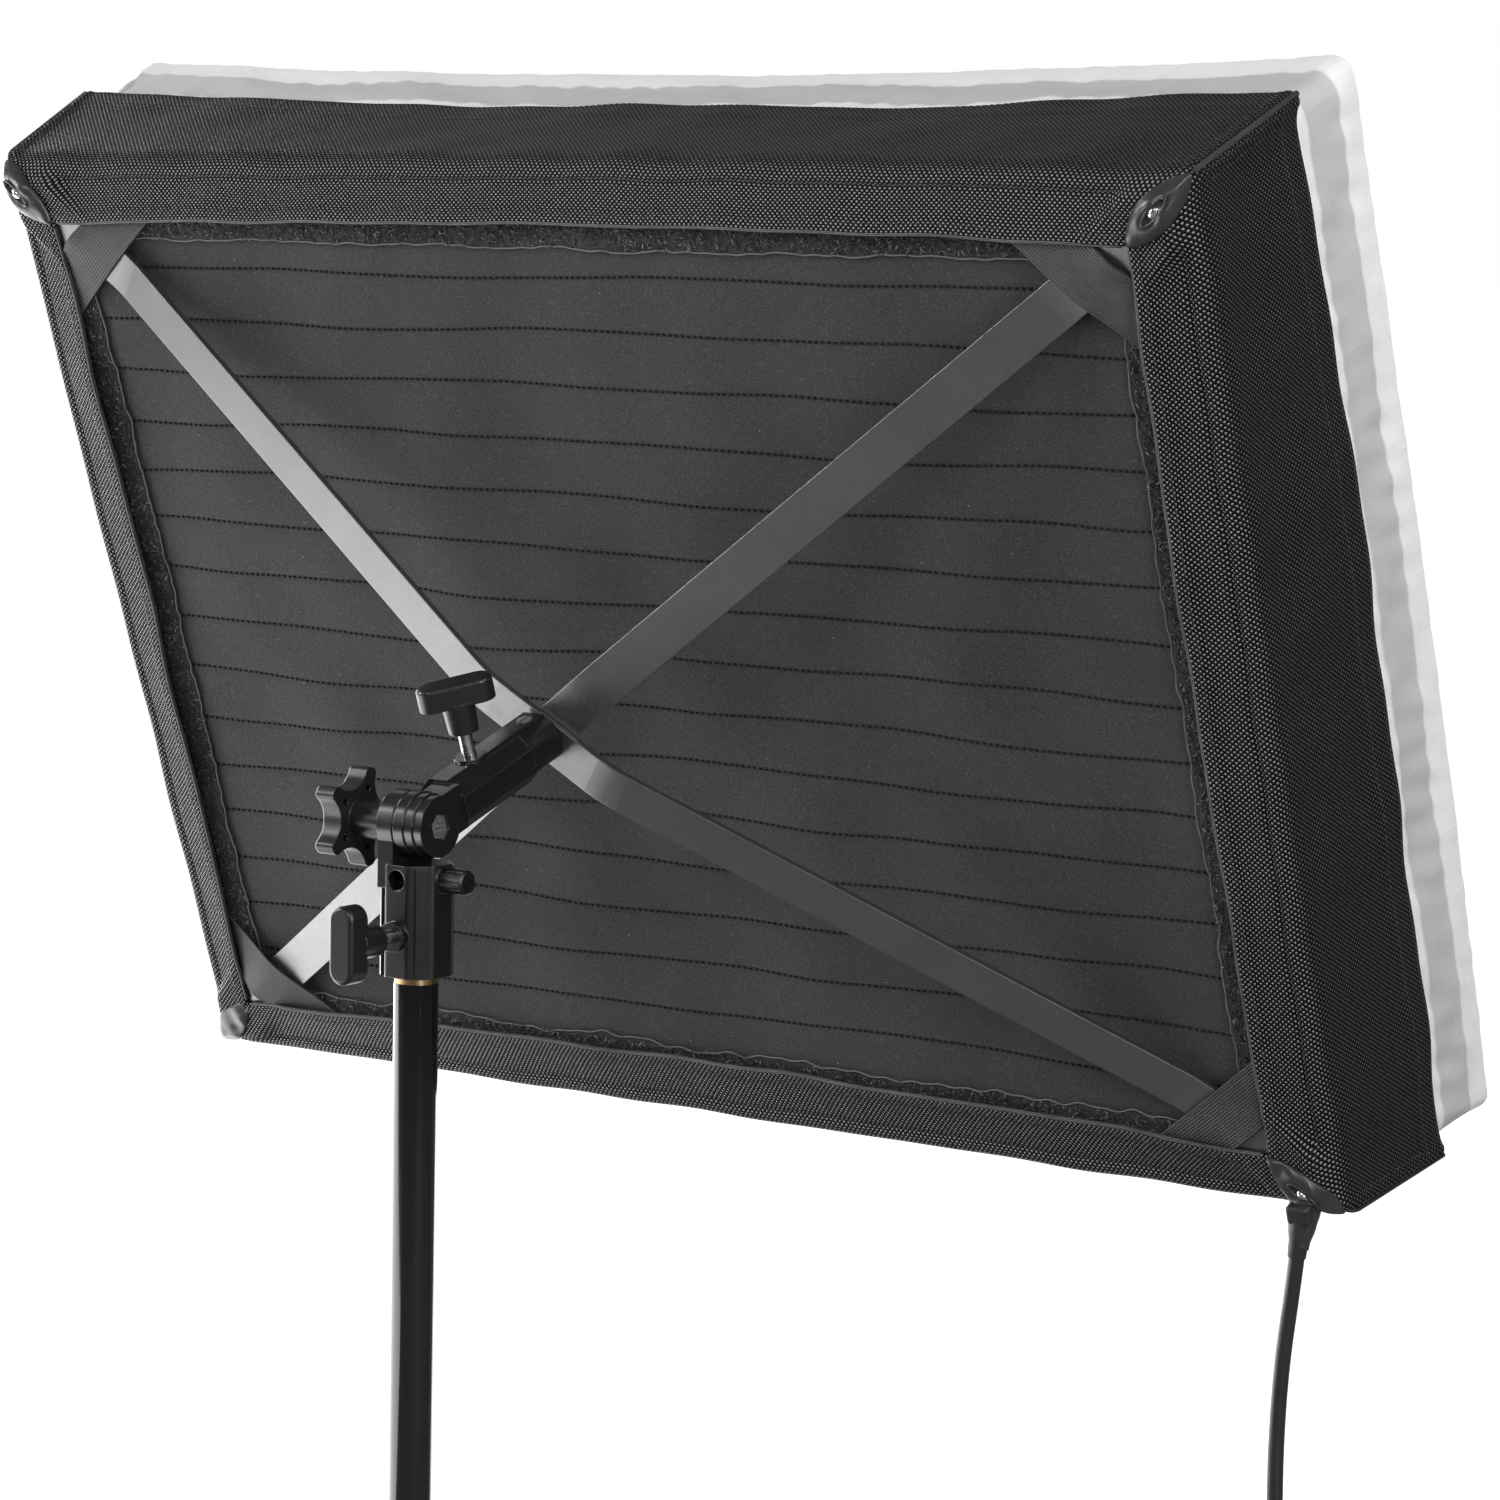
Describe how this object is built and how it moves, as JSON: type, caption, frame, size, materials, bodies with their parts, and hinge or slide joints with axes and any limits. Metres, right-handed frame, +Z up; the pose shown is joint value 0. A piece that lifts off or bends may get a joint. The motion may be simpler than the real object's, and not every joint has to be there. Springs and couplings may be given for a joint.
{
  "type": "studio softbox",
  "caption": "Flexible LED panel light in a black softbox with a white diffuser, held by crossed flat bars on a tilt head and the top section of a light stand.",
  "frame": {"origin": "centre of the lower end of the stand section that the head is clamped on", "axes": "+Z up the stand, +Y the way the lamp shines when level, +X to the right seen from behind the lamp"},
  "size_m": [0.6584, 0.401, 0.8446],
  "materials": {
    "stand_paint": "gloss black powder coat on steel tube",
    "brass": "turned brass",
    "black_plastic": "satin black glass-filled nylon",
    "head_paint": "satin black paint on die-cast aluminium",
    "friction_washer": "black fibre friction washer",
    "zinc_steel": "zinc-plated steel",
    "bright_steel": "bright steel",
    "black_steel": "black oxide steel",
    "bar_paint": "satin anthracite powder coat on flat steel bar",
    "mat_jersey": "matt dark grey laminated jersey",
    "led_board": "white flexible circuit strip",
    "led_phosphor": "LED phosphor packages",
    "loop_pile": "brushed loop fastener",
    "hook_tape": "hook fastener",
    "rod_fibreglass": "pultruded glass fibre",
    "skirt_nylon": "black ballistic nylon",
    "webbing": "ribbed black webbing",
    "glossy_vinyl": "glossy black vinyl",
    "diffuser_cloth": "white translucent ripstop",
    "white_tape": "white loop fastener",
    "black_rubber": "moulded black rubber",
    "cable_jacket": "satin black cable jacket"
  },
  "bodies": {
    "stand": {"stand_tube": "stand_paint", "stand_spigot": "brass", "tube_end_plug": "black_plastic"},
    "socket": {"socket_casting": "head_paint", "tilt_washer": "friction_washer", "tilt_lock_washer": "zinc_steel", "stand_lock_pad": "brass", "umbrella_lock_pad": "brass"},
    "stand_lock": {"stand_lock_screw": "bright_steel", "stand_lock_knob": "black_plastic"},
    "umbrella_lock": {"umbrella_lock_screw": "bright_steel", "umbrella_lock_head": "black_steel"},
    "tilt_lock": {"tilt_knob": "black_plastic", "tilt_knob_insert": "brass"},
    "tilt_arm": {"head_casting": "head_paint", "tilt_bolt": "zinc_steel", "spigot_lock_pad": "brass"},
    "spigot_lock": {"spigot_lock_screw": "bright_steel", "spigot_lock_knob": "black_plastic"},
    "light": {"hub_spigot": "bright_steel", "hub_sleeve": "head_paint", "hub_screw": "zinc_steel", "hub_bolt": "black_steel", "hub_washer": "zinc_steel", "cross_bar_falling": "bar_paint", "cross_bar_rising": "bar_paint", "led_mat": "mat_jersey", "led_strips": "led_board", "led_emitters": "led_phosphor", "loop_band": "loop_pile", "corner_strap_top_left": "webbing", "corner_strap_top_right": "webbing", "corner_strap_bottom_left": "webbing", "corner_strap_bottom_right": "webbing", "corner_pocket_top_left": "glossy_vinyl", "corner_pocket_top_right": "glossy_vinyl", "corner_pocket_bottom_left": "glossy_vinyl", "corner_pocket_bottom_right": "glossy_vinyl", "rear_flange_top": "skirt_nylon", "rear_flange_bottom": "skirt_nylon", "rear_flange_left": "skirt_nylon", "rear_flange_right": "skirt_nylon", "skirt_top": "skirt_nylon", "skirt_bottom": "skirt_nylon", "skirt_left": "skirt_nylon", "skirt_right": "skirt_nylon", "skirt_hook_tape": "hook_tape", "corner_rods": "rod_fibreglass", "rod_tips": "black_plastic", "cable_gland": "black_rubber", "mat_cable": "cable_jacket", "cable_connector": "black_plastic", "connector_ring": "zinc_steel"},
    "diffuser": {"diffuser_face": "diffuser_cloth", "diffuser_top": "diffuser_cloth", "diffuser_bottom": "diffuser_cloth", "diffuser_left": "diffuser_cloth", "diffuser_right": "diffuser_cloth", "diffuser_loop_tape": "white_tape"}
  },
  "joints": [
    {"name": "pan", "type": "hinge", "parent": "stand", "child": "socket", "pos_m": [0, 0, 0.3169], "axis": [0, 0, 1], "continuous": true},
    {"name": "head_tilt", "type": "hinge", "parent": "socket", "child": "tilt_arm", "pos_m": [0, 0, 0.3669], "axis": [1, 0, 0], "range_deg": [-35, 70]},
    {"name": "frame_roll", "type": "hinge", "parent": "tilt_arm", "child": "light", "pos_m": [0, 0.04698, 0.384], "axis": [0, 0.9397, 0.342], "continuous": true},
    {"name": "diffuser_off", "type": "slide", "parent": "light", "child": "diffuser", "axis": [0, 0.9397, 0.342], "range_m": [0, 0.12]},
    {"name": "stand_lock_turn", "type": "hinge", "parent": "socket", "child": "stand_lock", "pos_m": [0, -0.04, 0.3209], "axis": [0, -1, 0], "range_deg": [0, 1080]},
    {"name": "umbrella_lock_turn", "type": "hinge", "parent": "socket", "child": "umbrella_lock", "pos_m": [0.02, 0, 0.3446], "axis": [1, 0, 0], "range_deg": [-1080, 720]},
    {"name": "tilt_lock_turn", "type": "hinge", "parent": "socket", "child": "tilt_lock", "pos_m": [-0.03, 0, 0.3669], "axis": [-1, 0, 0], "range_deg": [0, 540]},
    {"name": "spigot_lock_turn", "type": "hinge", "parent": "tilt_arm", "child": "spigot_lock", "pos_m": [0, 0.02808, 0.40904], "axis": [0, -0.342, 0.9397], "range_deg": [0, 1080]}
  ]
}
